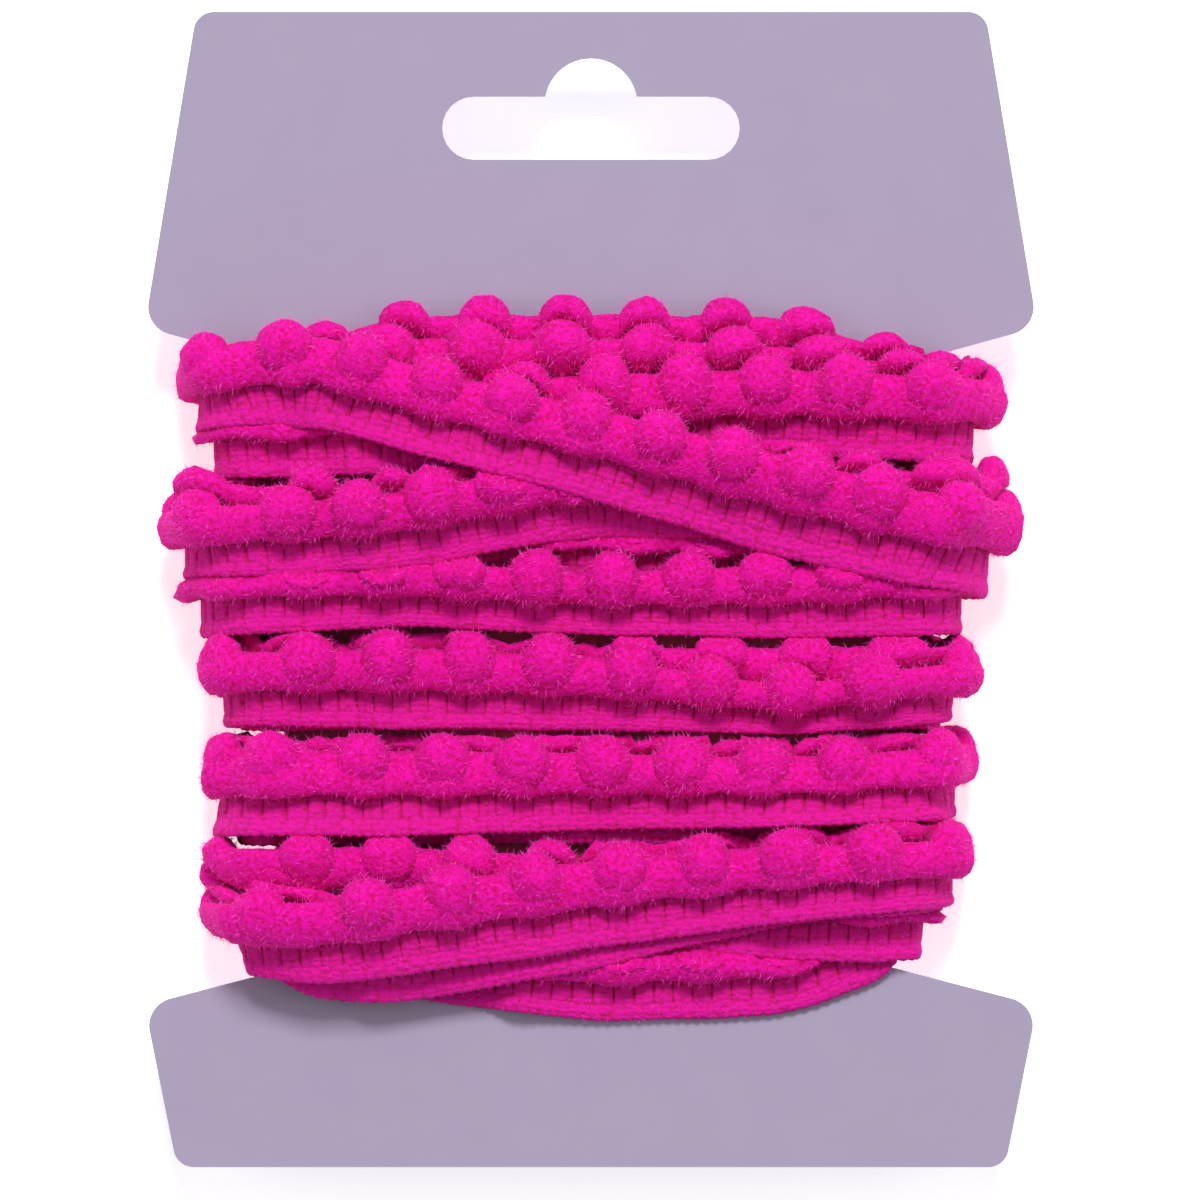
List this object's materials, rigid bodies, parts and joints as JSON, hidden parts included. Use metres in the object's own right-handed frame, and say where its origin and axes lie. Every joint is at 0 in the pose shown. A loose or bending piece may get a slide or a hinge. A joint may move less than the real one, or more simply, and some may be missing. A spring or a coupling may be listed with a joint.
{
  "type": "pompom fringe trim wound on a hang card",
  "caption": "Pompom fringe trim, a continuous length of knitted tape with a cut-pile edge of small pompoms, wound round the waist of a flat hang card with a humped slot.",
  "frame": {"origin": "centre of the bounding box's bottom, where the winding's back rests on a surface with the card lying on its back", "axes": "+X across the card to the viewer's right, +Y up the card to the hang slot, +Z out of the card's face"},
  "size_m": [0.0952, 0.1242, 0.0233],
  "materials": {
    "card": "coated board, satin lilac face",
    "tape": "ribbed knit, neon pink",
    "pompoms": "short dense cut pile, neon pink"
  },
  "bodies": {
    "root": {"card": "card", "tape": "tape", "pompoms": "pompoms"}
  },
  "joints": []
}
